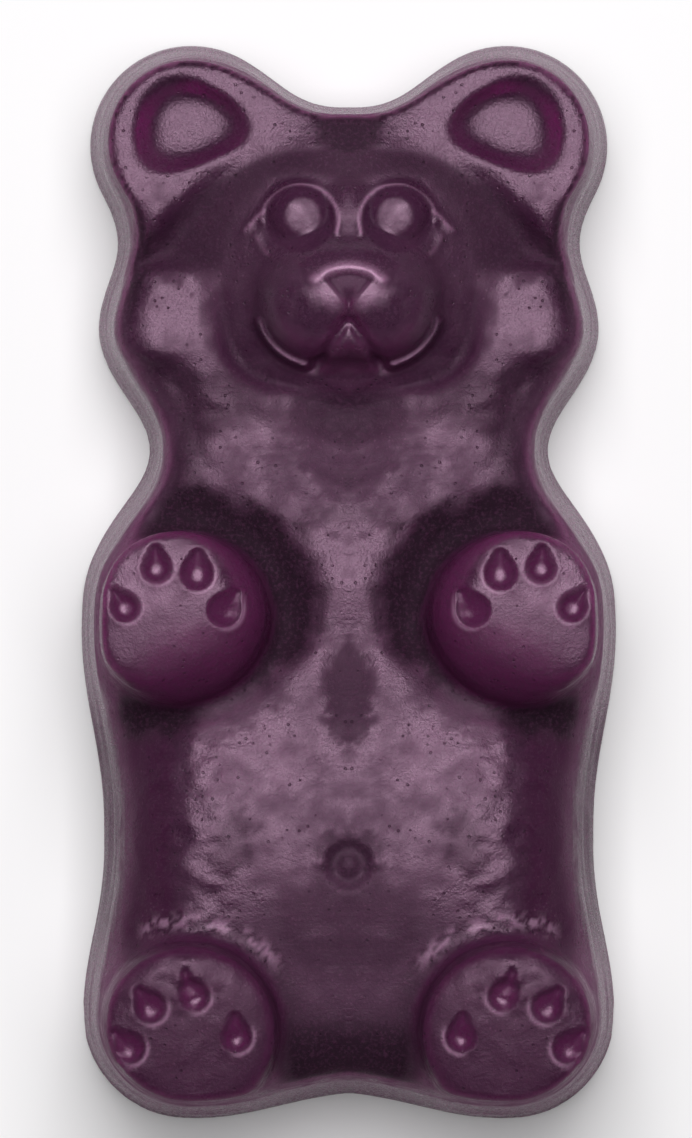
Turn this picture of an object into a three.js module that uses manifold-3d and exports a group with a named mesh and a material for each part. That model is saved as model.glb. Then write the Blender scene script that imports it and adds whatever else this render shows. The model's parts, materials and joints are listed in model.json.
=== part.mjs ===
import * as THREE from 'three';
import Module from 'manifold-3d';

// One big moulded gummy bear, lying on its flat back with its face up.
// X runs across the bear, Y from its feet to its ears, Z from the flat back to the front.

const LENGTH = 140; // feet to ears, mm
const DRAWN_LENGTH = 140; // the sizes below are those of a bear this long
const TRIANGLES = 6300; // for the skin of one half, the other half is its mirror image
const CELL = 5; // first coarse net
const NET_SIZE = [38, 148, 58]; // one half's width, the length and the height it spans
const NET_LOW = -8.5; // and the height it starts from
const NEAR = 0.06; // how close an edge's middle lies to the form
const BELOW = 4; // the form runs on this far behind the back, and is cut off flat there

// Outline of the back: rounded boxes and discs that flow into each other.
const HEAD = { y: 39.1, half: 26.7, rise: 22.9, corner: 18 };
const EAR = { x: 20.45, y: 56.7, radius: 13.4, blend: 6.8 };
const CHEEK = { x: 24.6, y: 32.8, radius: 7.1, blend: 12.4 };
const TRUNK = { y: -29.15, half: 32.1, rise: 37.4, corner: 10.3 };
const SHOULDER = { x: 13.75, y: -5.75, radius: 16.7, blend: 15 };
const HIP = { x: 19.5, y: -55.75, radius: 10.2, blend: 15 };
const NECK_BLEND = 19.75;

// Draft of the side walls: how far they lean in for each mm of height.
const DRAFT = { low: 0.12, high: 0.03, change: 24, soft: 8 };

// Heights of the front face above the back.
const FRONT = { neck: 23.2, crown: 2.9, cheek: 1.9, chest: 5.6, belly: 4.6, lap: 4.4 };
// Where each of them comes in, along the bear unless it says across.
const BAND = {
  cheek: [43, 30],
  cheekAcross: [26, 30],
  chest: [29, -4],
  belly: [-2, -37],
  lap: [-36, -68],
  flank: [-2, -18],
  armpitAcross: [30, 24],
};
const CROWN = { start: 40.5, edge: 70.7, low: 44, high: 53, lean: 0.11, from: 49 };
const FLANK = { x: 19.4, soft: 3, slope: 0.46, curve: 0.018, reach: 14 };
const ARMPIT = { x: 20, y: -4.2, radius: 16.6, slope: 0.5, soft: 1.6 };
const BREASTBONE = { y: -11.9, across: 4.6, along: 11.5, deep: 1.3 };
const PARTING = { y: 63, across: 7, along: 8, deep: 1 };

// How round the front's edge is: more so at the brow and along the trunk.
const FRONT_EDGE = { all: 2.2, brow: 3, browBand: [52, 42], trunk: 1, trunkBand: [10, -20] };
const SLANT = 0.93; // the front leans, so that its true distance is a little less than its height
const SIDE_EDGE = 0.8;
const BACK_EDGE = 1;
const RELIEF_BAND = [14, 24]; // the fine relief fades out below this height

// Face: a shallow cone with a bridge, two muzzle lobes and two eyes on it.
const FACE = { low: [0, 39.9, 15.8], high: [0, 38.4, 32], wide: 35.4, narrow: 3, edge: 2.5, blend: 0.5 };
const BRIDGE = { x: 0, y: 45.3, z: 27.2, rx: 4.2, ry: 6, rz: 3.6, blend: 0.9 };
const MUZZLE = { x: 3.7, y: 36, z: 25, rx: 7.7, ry: 8.5, rz: 10, blend: 2.5 };
const EYE = { x: 6, y: 46.3, radius: 2.8, taper: 0.3, level: 30, edge: 0.8, blend: 0.5 };
const EYE_LOW = { z: 24, edge: 1 };
const EYEBALL = { x: 6, y: 45.6, z: 25.6, rx: 7.4, ry: 7.4, rz: 4.9 };
const SOCKET = { x: 6.1, y: 46.3, radius: 5.2, deep: 0.5 };
const SOCKET_RIM = { radius: 5.6, rise: 0.35, width: 0.8, from: -25, to: 195 };
const SMILE = { x: 3.7, y: 36, radius: 8.3, rise: 0.6, width: 0.8, from: -82, to: -17 };
const PHILTRUM = { y: 35.2, half: 1.2, deep: 0.5, width: 0.8 };
const MOUTH = { x: 0.4, y: 33.4, dx: 4, dy: -5.8, deep: 0.8, width: 1 };
const LIP = { y: 30.6, radius: 3, rise: 0.5 };
const NOSE = { y: 35.2, radius: 5.5, from: 38, to: 142, rise: 0.8, width: 1 };

// Hollow in each ear: three leaning sides above a flat floor.
const HOLLOW = { floor: 22, rim: 24.5, outer: 27.2, lean: 0.6, under: 0.05, slant: 0.85 };
const HOLLOW_EDGE = 1.5;
const HOLLOW_TOP = { x: 21.6, y: 65.5, angle: 128.7, soft: 8 };
const HOLLOW_LOW = { x: 24.6, y: 53.6, angle: 247.9, soft: 3 };

// Arms and feet: tapered pegs that stand out of the body.
const ARM = { low: [19.3, -7.2, 8], high: [22.3, -4.1, 41.3], wide: 13.2, narrow: 10.7, blend: 5 };
const ARM_EDGE = { crisp: 2.6, round: 4, band: [27, 13], skew: 0.6, y: -5 };
const FOOT = { low: [20.3, -57.2, 6], high: [20.6, -58, 48.5], wide: 12.8, narrow: 11, blend: 4.5 };
const PEG_OVERRUN = 0.2; // share of its length that a peg's taper runs on past its ends
const SOLE = { y: -58, z: 46.5, slope: 0.12, edge: 3, rim: 3.2 };

// Toes: teardrop dimples. Each has its round end, its radius and the way to its tip.
const HAND_TOES = [
  { x: 28.5, y: -3.1, radius: 1.95, dx: 0.4, dy: 3 },
  { x: 24.6, y: 1.3, radius: 2, dx: 0.4, dy: 3.4 },
  { x: 19.6, y: 0.8, radius: 2, dx: -0.3, dy: 3.7 },
  { x: 15.9, y: -3.7, radius: 2, dx: -1.1, dy: 2.9 },
];
const FOOT_TOES = [
  { x: 28, y: -59.2, radius: 1.85, dx: 1.7, dy: 2 },
  { x: 25.3, y: -54.5, radius: 2, dx: 1.3, dy: 2.6 },
  { x: 20.1, y: -52.9, radius: 1.9, dx: 0.8, dy: 3.3 },
  { x: 14.3, y: -57.2, radius: 1.9, dx: -0.7, dy: 3.6 },
];
const TOE = { deep: 1.3, bank: 1.7, tip: 0.5 };
const NAVEL = { y: -36.4, ring: 2.3, deep: 1, width: 1 };

// Longest edge allowed on the skin, and the shortest that is still split to lie closer to the form.
const EDGES = {
  backRim: { longest: 3.5, shortest: 1.5, below: 2 },
  wall: { longest: 8, shortest: 2.4, below: 19 },
  plain: { longest: 5, shortest: 0.9 },
  toe: { longest: 1.1, shortest: 0.5, radius: 3.2 },
  face: { longest: 1.4, shortest: 0.6, x: 2, y: 35.5, radius: 9.5, eyeRadius: 6.2 },
  navel: { longest: 1.5, shortest: 0.6, radius: 4.5 },
  armFoot: { longest: 2.5, shortest: 0.9, x: 20.5, y: -6, radius: 13.4, reach: 2.2, below: 34 },
};
const ROUNDS = { split: 24, relaxEvery: 3, settle: 3 };
const FLIP = { slack: 0.05, worse: 1.2, alike: 0.8, alikeIfCloser: 0.5 };
const RELAX = 0.4; // share of the way to its neighbours' middle that a point moves
const STEP = 0.02; // for slopes by differences
const LEAST_SLOPE = 0.05;
const TO_BACK = 1.1; // points this close to the back go into its plane, so that the cut leaves no slivers
const ON_BACK = 1e-4;

const { abs, sqrt, hypot, max, min, cos, sin, atan2, exp } = Math;
const radians = THREE.MathUtils.degToRad;

// ---- Small tools: distances are negative inside ----

function smoothMin(a, b, k) {
  const h = max(k - abs(a - b), 0) / k;
  return min(a, b) - (h * h * k) / 4;
}

function smoothMax(a, b, k) {
  return -smoothMin(-a, -b, k);
}

function soft(t, width) {
  return 0.5 * (t + sqrt(t * t + width * width));
}

function ramp(band, t) {
  const s = min(max((t - band[0]) / (band[1] - band[0]), 0), 1);
  return s * s * (3 - 2 * s);
}

function bump(x, y, rx, ry) {
  return max(1 - (x / rx) ** 2 - (y / ry) ** 2, 0) ** 2;
}

function ridge(distance, width) {
  return exp(-((distance / width) ** 2));
}

function roundedBox(x, y, box) {
  const qx = abs(x) - box.half + box.corner;
  const qy = abs(y - box.y) - box.rise + box.corner;
  return hypot(max(qx, 0), max(qy, 0)) + min(max(qx, qy), 0) - box.corner;
}

function disc(x, y, place) {
  return hypot(x - place.x, y - place.y) - place.radius;
}

function drop(x, y, dx, dy, radius, tip) {
  const s = min(max((x * dx + y * dy) / (dx * dx + dy * dy), 0), 1);
  return hypot(x - s * dx, y - s * dy) - radius + (radius - tip) * s;
}

function arc(x, y, radius, from, to) {
  const middle = radians((from + to) / 2);
  const half = radians((to - from) / 2);
  const u = x * cos(middle) + y * sin(middle);
  const v = abs(y * cos(middle) - x * sin(middle));
  if (atan2(v, u) < half) return abs(hypot(u, v) - radius);
  return hypot(u - radius * cos(half), v - radius * sin(half));
}

function ellipsoid(x, y, z, e) {
  const a = (x - e.x) / e.rx;
  const b = (y - e.y) / e.ry;
  const c = (z - e.z) / e.rz;
  const reach = hypot(a, b, c);
  return (reach * (reach - 1)) / max(hypot(a / e.rx, b / e.ry, c / e.rz), 1e-6);
}

function peg(x, y, z, p, edge) {
  const axis = p.high.map((value, i) => value - p.low[i]);
  const length = hypot(...axis);
  const from = [x - p.low[0], y - p.low[1], z - p.low[2]];
  const t = (from[0] * axis[0] + from[1] * axis[1] + from[2] * axis[2]) / length;
  const away = sqrt(max(from[0] ** 2 + from[1] ** 2 + from[2] ** 2 - t * t, 0));
  const reach = p.wide + (p.narrow - p.wide) * min(max(t / length, -PEG_OVERRUN), 1 + PEG_OVERRUN);
  const side = ((away - reach) * length) / hypot(length, p.wide - p.narrow);
  return smoothMax(side, abs(t - length / 2) - length / 2, edge);
}

// ---- The bear's form ----

function outline(x, y) {
  let top = roundedBox(x, y, HEAD);
  top = smoothMin(top, disc(x, y, EAR), EAR.blend);
  top = smoothMin(top, disc(x, y, CHEEK), CHEEK.blend);
  let low = roundedBox(x, y, TRUNK);
  low = smoothMin(low, disc(x, y, SHOULDER), SHOULDER.blend);
  low = smoothMin(low, disc(x, y, HIP), HIP.blend);
  return smoothMin(top, low, NECK_BLEND);
}

function wall(x, y, z) {
  const step = 0.05;
  const here = outline(x, y);
  const slope = hypot(outline(x + step, y) - here, outline(x, y + step) - here) / step;
  const over = soft(z - DRAFT.change, DRAFT.soft) - soft(-DRAFT.change, DRAFT.soft);
  return here / max(slope, 0.3) + DRAFT.low * z - (DRAFT.low - DRAFT.high) * over;
}

function front(x, y) {
  const crownEdge = min(max(CROWN.edge - x, CROWN.low), CROWN.high);
  let z = FRONT.neck + FRONT.crown * ramp([CROWN.start, crownEdge], y);
  z -= CROWN.lean * max(y - CROWN.from, 0);
  z += FRONT.cheek * ramp(BAND.cheek, y) * ramp(BAND.cheekAcross, y);
  z += FRONT.chest * ramp(BAND.chest, y);
  z += FRONT.belly * ramp(BAND.belly, y) - FRONT.lap * ramp(BAND.lap, y);
  const flank = soft(x - FLANK.x, FLANK.soft) * ramp(BAND.flank, y);
  z -= FLANK.slope * flank + FLANK.curve * min(flank, FLANK.reach) ** 2;
  const armpit = soft(ARMPIT.radius - hypot(x - ARMPIT.x, y - ARMPIT.y), ARMPIT.soft);
  z -= ARMPIT.slope * armpit * ramp(BAND.armpitAcross, x);
  z -= BREASTBONE.deep * bump(x, y - BREASTBONE.y, BREASTBONE.across, BREASTBONE.along);
  return z - PARTING.deep * bump(x, y - PARTING.y, PARTING.across, PARTING.along);
}

function toeRelief(x, y, toe) {
  const d = drop(x - toe.x, y - toe.y, toe.dx, toe.dy, toe.radius, TOE.tip);
  return -TOE.deep * ramp([0, TOE.bank], -d);
}

function eyeRelief(x, y) {
  const dx = x - SOCKET.x;
  const dy = y - SOCKET.y;
  const dish = SOCKET.deep * max(1 - (hypot(dx, dy) / SOCKET.radius) ** 2, 0);
  const rim = arc(dx, dy, SOCKET_RIM.radius, SOCKET_RIM.from, SOCKET_RIM.to);
  return SOCKET_RIM.rise * ridge(rim, SOCKET_RIM.width) - dish;
}

function mouthRelief(x, y) {
  const lip = arc(x - SMILE.x, y - SMILE.y, SMILE.radius, SMILE.from, SMILE.to);
  const philtrum = hypot(x, max(abs(y - PHILTRUM.y) - PHILTRUM.half, 0));
  const corner = drop(x - MOUTH.x, y - MOUTH.y, MOUTH.dx, MOUTH.dy, 0, 0);
  let rise = SMILE.rise * ridge(lip, SMILE.width);
  rise -= PHILTRUM.deep * ridge(philtrum, PHILTRUM.width);
  rise -= MOUTH.deep * ridge(corner, MOUTH.width);
  return rise + LIP.rise * bump(x, y - LIP.y, LIP.radius, LIP.radius);
}

function noseRelief(x, y) {
  return NOSE.rise * ridge(arc(x, y - NOSE.y, NOSE.radius, NOSE.from, NOSE.to), NOSE.width);
}

function navelRelief(x, y) {
  return -NAVEL.deep * ridge(hypot(x, y - NAVEL.y) - NAVEL.ring, NAVEL.width);
}

function relief(x, y) {
  let rise = eyeRelief(x, y) + mouthRelief(x, y) + noseRelief(x, y) + navelRelief(x, y);
  for (const toe of [...HAND_TOES, ...FOOT_TOES]) rise += toeRelief(x, y, toe);
  return rise;
}

function head(x, y, z, body) {
  let d = smoothMin(body, peg(x, y, z, FACE, FACE.edge), FACE.blend);
  d = smoothMin(d, ellipsoid(x, y, z, BRIDGE), BRIDGE.blend);
  d = smoothMin(d, ellipsoid(x, y, z, MUZZLE), MUZZLE.blend);
  const rim = hypot(x - EYE.x, y - EYE.y) - EYE.radius + EYE.taper * (z - EYE.level);
  const eye = smoothMax(ellipsoid(x, y, z, EYEBALL), rim, EYE.edge);
  return smoothMin(d, smoothMax(eye, EYE_LOW.z - z, EYE_LOW.edge), EYE.blend);
}

function limbs(x, y, z, body) {
  const inner = ramp(ARM_EDGE.band, x + ARM_EDGE.skew * (y - ARM_EDGE.y));
  const arm = peg(x, y, z, ARM, ARM_EDGE.crisp + ARM_EDGE.round * inner);
  const sole = z - SOLE.z - SOLE.slope * (y - SOLE.y);
  const foot = smoothMax(peg(x, y, z, FOOT, SOLE.rim), sole, SOLE.edge);
  return smoothMin(smoothMin(body, arm, ARM.blend), foot, FOOT.blend);
}

function slantedSide(x, y, side) {
  return (x - side.x) * cos(radians(side.angle)) + (y - side.y) * sin(radians(side.angle));
}

function earHollow(x, y, z) {
  const lean = z - HOLLOW.rim;
  const outer = x - HOLLOW.outer - HOLLOW.lean * lean;
  const top = slantedSide(x, y, HOLLOW_TOP) - HOLLOW.lean * lean;
  const under = slantedSide(x, y, HOLLOW_LOW) - HOLLOW.under * lean;
  const sides = smoothMax(smoothMax(outer, top, HOLLOW_TOP.soft), under, HOLLOW_LOW.soft);
  return smoothMax(sides * HOLLOW.slant, HOLLOW.floor - z, HOLLOW_EDGE);
}

// The whole form without its ear hollows and fine relief.
function bulk(x, y, z) {
  const side = wall(x, y, z);
  const brow = FRONT_EDGE.brow * ramp(FRONT_EDGE.browBand, y);
  const edge = FRONT_EDGE.all + brow + FRONT_EDGE.trunk * ramp(FRONT_EDGE.trunkBand, y);
  const body = smoothMax((z - front(x, y)) * SLANT, side, edge);
  const d = smoothMax(limbs(x, y, z, head(x, y, z, body)), side, SIDE_EDGE);
  return smoothMax(d, -z - BELOW, BACK_EDGE);
}

function form(x, y, z) {
  const hollowed = smoothMax(bulk(x, y, z), -earHollow(x, y, z), HOLLOW_EDGE);
  return hollowed - relief(x, y) * ramp(RELIEF_BAND, z);
}

// ---- The skin of one half: a coarse net over the form, split where the form bends ----

function slopeAt(p) {
  const x = abs(p.x);
  const value = form(x, p.y, p.z);
  const dx = Math.sign(p.x) * (form(x + STEP, p.y, p.z) - value);
  const dy = form(x, p.y + STEP, p.z) - value;
  const dz = form(x, p.y, p.z + STEP) - value;
  return { value, slope: new THREE.Vector3(dx, dy, dz).divideScalar(STEP) };
}

function settle(p, rounds) {
  for (let i = 0; i < rounds; i++) {
    const { value, slope } = slopeAt(p);
    const move = value / max(slope.lengthSq(), LEAST_SLOPE);
    p.addScaledVector(slope, -min(max(move, -1), 1));
  }
  return p;
}

function offSurface(a, b) {
  const middle = new THREE.Vector3().addVectors(a, b).multiplyScalar(0.5);
  const { value, slope } = slopeAt(middle);
  return abs(value) / sqrt(max(slope.lengthSq(), LEAST_SLOPE));
}

function coarseNet() {
  const cells = NET_SIZE.map((reach) => Math.ceil(reach / CELL));
  const start = [-CELL / 2, (-cells[1] / 2) * CELL, NET_LOW];
  const stride = [1, cells[0] + 1, (cells[0] + 1) * (cells[1] + 1)];
  const place = (i, axis) => start[axis] + i * CELL;
  const values = [];
  for (let k = 0; k <= cells[2]; k++)
    for (let j = 0; j <= cells[1]; j++)
      for (let i = 0; i <= cells[0]; i++) values.push(bulk(abs(place(i, 0)), place(j, 1), place(k, 2)));
  const points = [];
  const pointOf = new Map();
  const corners = [...Array(8).keys()].map((c) => [c & 1, (c >> 1) & 1, c >> 2]);
  const pairs = corners.flatMap((c, i) => [0, 1, 2].filter((a) => !c[a]).map((a) => [i, i + (1 << a)]));
  for (let k = 0; k < cells[2]; k++)
    for (let j = 0; j < cells[1]; j++)
      for (let i = 0; i < cells[0]; i++) {
        const base = i + j * stride[1] + k * stride[2];
        const at = corners.map((c) => values[base + c[0] + c[1] * stride[1] + c[2] * stride[2]]);
        const crossed = pairs.filter(([a, b]) => at[a] < 0 !== at[b] < 0);
        if (!crossed.length) continue;
        const sum = new THREE.Vector3();
        for (const [a, b] of crossed) {
          const t = at[a] / (at[a] - at[b]);
          sum.add(new THREE.Vector3(...corners[a]).lerp(new THREE.Vector3(...corners[b]), t));
        }
        sum.divideScalar(crossed.length).add(new THREE.Vector3(i, j, k)).multiplyScalar(CELL);
        pointOf.set(base, points.length);
        points.push(sum.add(new THREE.Vector3(...start)));
      }
  const faces = [];
  for (let base = 0; base < values.length; base++)
    for (let axis = 0; axis < 3; axis++) {
      const next = values[base + stride[axis]];
      if (next === undefined || values[base] < 0 === next < 0) continue;
      const u = stride[(axis + 1) % 3];
      const v = stride[(axis + 2) % 3];
      const quad = [base, base - u, base - u - v, base - v].map((cell) => pointOf.get(cell));
      if (quad.includes(undefined)) continue;
      if (values[base] > 0) quad.reverse();
      faces.push([quad[0], quad[1], quad[2]], [quad[0], quad[2], quad[3]]);
    }
  points.forEach((p) => settle(p, 2 * ROUNDS.settle));
  return { points, faces };
}

function edgeKey(a, b) {
  return `${min(a, b)} ${max(a, b)}`;
}

function edgeTable(faces) {
  const table = new Map();
  faces.forEach((face, index) => {
    for (let i = 0; i < 3; i++) {
      const a = face[i];
      const b = face[(i + 1) % 3];
      const key = edgeKey(a, b);
      if (!table.has(key)) table.set(key, { a, b, faces: [] });
      table.get(key).faces.push(index);
    }
  });
  return table;
}

function opposite(face, a, b) {
  return face.find((v) => v !== a && v !== b);
}

// Edge lengths wanted at a place: short on the face, the paws, the ears and the navel.
function wantedEdge({ x, y, z }) {
  const { backRim, wall: side, plain, toe, face, navel, armFoot } = EDGES;
  if (z < side.below) return z < backRim.below ? backRim : side;
  const toes = [...HAND_TOES, ...FOOT_TOES];
  if (toes.some((t) => hypot(x - t.x - t.dx / 3, y - t.y - t.dy / 3) < toe.radius)) return toe;
  if (hypot(x - EYE.x, y - EYE.y) < face.eyeRadius) return face;
  if (hypot(x - face.x, y - face.y) < face.radius) return face;
  if (hypot(x, y - NAVEL.y) < navel.radius) return navel;
  const fromArm = abs(hypot(x - armFoot.x, y - armFoot.y) - armFoot.radius);
  return fromArm < armFoot.reach && z < armFoot.below ? armFoot : plain;
}

function splitEdges({ points, faces }, budget) {
  const ranked = [];
  for (const edge of edgeTable(faces).values()) {
    const a = points[edge.a];
    const b = points[edge.b];
    const length = a.distanceTo(b);
    const middle = new THREE.Vector3().addVectors(a, b).multiplyScalar(0.5);
    const wanted = wantedEdge(middle);
    const long = length / wanted.longest;
    const off = length > wanted.shortest ? offSurface(a, b) / NEAR : 0;
    if (middle.z > -2 && max(long, off) > 1) ranked.push({ edge, score: long > 1 ? 100 * long : off });
  }
  ranked.sort((one, other) => other.score - one.score);
  const used = new Set();
  for (const { edge } of ranked) {
    if (faces.length >= budget) break;
    if (edge.faces.some((f) => used.has(f))) continue;
    const middle = new THREE.Vector3().addVectors(points[edge.a], points[edge.b]).multiplyScalar(0.5);
    const added = points.push(settle(middle, ROUNDS.settle)) - 1;
    for (const f of edge.faces) {
      used.add(f).add(faces.length);
      faces.push(faces[f].map((v) => (v === edge.a ? added : v)));
      faces[f] = faces[f].map((v) => (v === edge.b ? added : v));
    }
  }
}

function angleAt(p, q, r) {
  return new THREE.Vector3().subVectors(q, p).angleTo(new THREE.Vector3().subVectors(r, p));
}

function normalOf(a, b, c) {
  return new THREE.Triangle(a, b, c).getNormal(new THREE.Vector3());
}

// Turn an edge the other way where that makes rounder triangles that lie as close to the form.
function flipEdges({ points, faces }) {
  const table = edgeTable(faces);
  const used = new Set();
  for (const edge of [...table.values()]) {
    if (edge.faces.length < 2 || edge.faces.some((f) => used.has(f))) continue;
    const [f, g] = edge.faces;
    const turned = faces[f][(faces[f].indexOf(edge.a) + 1) % 3] === edge.b;
    const [a, b] = turned ? [edge.a, edge.b] : [edge.b, edge.a];
    const c = opposite(faces[f], a, b);
    const d = opposite(faces[g], a, b);
    const [pa, pb, pc, pd] = [a, b, c, d].map((v) => points[v]);
    const now = offSurface(pa, pb);
    const then = offSurface(pc, pd);
    const closer = now > NEAR && then < now / 2;
    const rounder = angleAt(pc, pa, pb) + angleAt(pd, pa, pb) > Math.PI + FLIP.slack;
    if (!closer && (!rounder || then > max(NEAR, FLIP.worse * now))) continue;
    if (table.has(edgeKey(c, d))) continue;
    const before = normalOf(pa, pb, pc);
    const one = normalOf(pa, pd, pc);
    const two = normalOf(pd, pb, pc);
    const alike = min(one.dot(two), one.dot(before), two.dot(before));
    if (alike < (closer ? FLIP.alikeIfCloser : FLIP.alike)) continue;
    table.set(edgeKey(c, d), { faces: [] });
    faces[f] = [a, d, c];
    faces[g] = [d, b, c];
    used.add(f).add(g);
  }
}

// Move each point towards the middle of its neighbours, along the surface.
function relax({ points, faces }) {
  const sums = points.map(() => new THREE.Vector3());
  const counts = points.map(() => 0);
  for (const face of faces)
    face.forEach((v, i) => {
      sums[v].add(points[face[(i + 1) % 3]]);
      counts[v]++;
    });
  points.forEach((p, v) => {
    const move = sums[v].divideScalar(counts[v]).sub(p).multiplyScalar(RELAX);
    if (p.x === 0) move.x = 0;
    const normal = slopeAt(p).slope.normalize();
    settle(p.add(move.addScaledVector(normal, -move.dot(normal))), 2);
  });
}

function skin() {
  const net = coarseNet();
  for (let round = 1; round <= ROUNDS.split; round++) {
    splitEdges(net, TRIANGLES);
    flipEdges(net);
    if (round % ROUNDS.relaxEvery === 0) relax(net);
  }
  flipEdges(net);
  net.points.forEach((p) => settle(p, ROUNDS.settle));
  return net;
}

// Move a point along the back's plane onto the back's edge.
function settleOnBack(p) {
  p.z = 0;
  for (let i = 0; i < ROUNDS.settle; i++) {
    const { value, slope } = slopeAt(p);
    slope.z = 0;
    p.addScaledVector(slope, -value / max(slope.lengthSq(), LEAST_SLOPE));
  }
  return p;
}

const wasm = await Module();
wasm.setup();

function mirrored({ points, faces }) {
  const twins = points.map((p, v) => (p.x === 0 ? v : points.push(new THREE.Vector3(-p.x, p.y, p.z)) - 1));
  return { points, faces: [...faces, ...faces.map((face) => face.map((v) => twins[v]).reverse())] };
}

function cutFlat({ points, faces }) {
  const vertProperties = new Float32Array(points.flatMap((p) => p.toArray()));
  const triVerts = new Uint32Array(faces.flat());
  const solid = new wasm.Manifold(new wasm.Mesh({ numProp: 3, vertProperties, triVerts }));
  return solid.trimByPlane([0, 0, 1], 0).getMesh();
}

function bearGeometry() {
  const net = skin();
  net.points.filter((p) => abs(p.z) < TO_BACK).forEach(settleOnBack);
  const mesh = cutFlat(mirrored(net));
  const positions = new THREE.BufferAttribute(mesh.vertProperties, 3);
  const p = new THREE.Vector3();
  for (let i = 0; i < positions.count; i++) {
    p.fromBufferAttribute(positions, i);
    if (abs(p.z) < ON_BACK) positions.setXYZ(i, ...settleOnBack(p));
  }
  const geometry = new THREE.BufferGeometry();
  geometry.setAttribute('position', positions);
  geometry.setIndex(new THREE.BufferAttribute(mesh.triVerts, 1));
  geometry.scale(...Array(3).fill(LENGTH / DRAWN_LENGTH));
  geometry.computeVertexNormals();
  return geometry;
}

const gelatin = new THREE.MeshStandardMaterial({ color: 0x3b1f33, roughness: 0.3, metalness: 0 });
const bear = new THREE.Mesh(bearGeometry(), gelatin);
bear.name = 'gummy_bear';

const part = new THREE.Group();
part.add(bear);

export default part;
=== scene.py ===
import json
import math
from types import SimpleNamespace

import bmesh
import bpy
import numpy as np
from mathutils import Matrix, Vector, noise

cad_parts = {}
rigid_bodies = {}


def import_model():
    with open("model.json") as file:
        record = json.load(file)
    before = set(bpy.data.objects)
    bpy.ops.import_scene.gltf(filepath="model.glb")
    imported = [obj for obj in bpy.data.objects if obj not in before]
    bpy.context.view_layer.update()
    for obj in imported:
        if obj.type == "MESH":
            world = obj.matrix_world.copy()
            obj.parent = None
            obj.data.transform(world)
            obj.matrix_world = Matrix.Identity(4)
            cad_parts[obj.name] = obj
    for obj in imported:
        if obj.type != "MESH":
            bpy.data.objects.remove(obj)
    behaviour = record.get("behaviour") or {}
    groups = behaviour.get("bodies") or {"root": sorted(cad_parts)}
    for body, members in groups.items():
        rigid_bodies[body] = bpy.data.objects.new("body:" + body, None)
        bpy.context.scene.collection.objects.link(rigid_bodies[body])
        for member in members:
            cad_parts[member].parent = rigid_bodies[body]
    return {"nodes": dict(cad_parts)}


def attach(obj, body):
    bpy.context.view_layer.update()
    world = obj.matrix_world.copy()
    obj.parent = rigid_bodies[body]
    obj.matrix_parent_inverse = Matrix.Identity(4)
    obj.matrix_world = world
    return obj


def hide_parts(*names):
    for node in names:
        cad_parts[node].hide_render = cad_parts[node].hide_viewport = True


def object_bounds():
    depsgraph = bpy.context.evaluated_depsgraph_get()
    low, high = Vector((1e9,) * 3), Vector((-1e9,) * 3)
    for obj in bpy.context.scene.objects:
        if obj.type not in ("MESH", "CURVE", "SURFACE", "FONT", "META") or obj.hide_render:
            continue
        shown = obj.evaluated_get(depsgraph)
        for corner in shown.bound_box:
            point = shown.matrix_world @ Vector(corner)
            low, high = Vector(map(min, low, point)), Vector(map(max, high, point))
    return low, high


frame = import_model()
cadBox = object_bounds()
mm = 0.001
print("frame loaded")

# The bear's form, in millimetres: x across, y up to the ears, z out of the flat back.
# Every distance is negative inside the gum. A pair such as (30, 33) is where a ramp starts and ends.


def smoothMin(a, b, k):
    h = np.maximum(k - np.abs(a - b), 0) / k
    return np.minimum(a, b) - h * h * k / 4


def smoothMax(a, b, k):
    return -smoothMin(-a, -b, k)


def soft(t, width):  # nought below, t above, rounded between
    return 0.5 * (t + np.sqrt(t * t + width * width))


def ramp(start, end, t):
    t = np.clip((t - start) / (end - start), 0, 1)
    return t * t * (3 - 2 * t)


def bump(x, y, rx, ry):
    return np.maximum(1 - (x / rx) ** 2 - (y / ry) ** 2, 0) ** 2


def ridge(distance, width):
    return np.exp(-(distance / width) ** 2)


def roundedBox(x, y, box):
    qx = np.abs(x) - box["half"] + box["corner"]
    qy = np.abs(y - box["y"]) - box["rise"] + box["corner"]
    outside = np.hypot(np.maximum(qx, 0), np.maximum(qy, 0))
    return outside + np.minimum(np.maximum(qx, qy), 0) - box["corner"]


def disc(x, y, place):
    return np.hypot(x - place["x"], y - place["y"]) - place["radius"]


def drop(x, y, dx, dy, radius, tip):  # round end at the start, narrowing to the tip
    s = np.clip((x * dx + y * dy) / (dx * dx + dy * dy), 0, 1)
    return np.hypot(x - s * dx, y - s * dy) - radius + (radius - tip) * s


def arc(x, y, radius, start, end):  # distance to an arc, in degrees from the right
    middle, half = math.radians((start + end) / 2), math.radians((end - start) / 2)
    u = x * math.cos(middle) + y * math.sin(middle)
    v = np.abs(y * math.cos(middle) - x * math.sin(middle))
    past = np.hypot(u - radius * math.cos(half), v - radius * math.sin(half))
    return np.where(np.arctan2(v, u) < half, np.abs(np.hypot(u, v) - radius), past)


def ellipsoid(x, y, z, e):
    x, y, z = (x - e["at"][0]) / e["r"][0], (y - e["at"][1]) / e["r"][1], (z - e["at"][2]) / e["r"][2]
    reach = np.sqrt(x * x + y * y + z * z)
    slope = np.sqrt((x / e["r"][0]) ** 2 + (y / e["r"][1]) ** 2 + (z / e["r"][2]) ** 2)
    return reach * (reach - 1) / np.maximum(slope, 1e-6)


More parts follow.
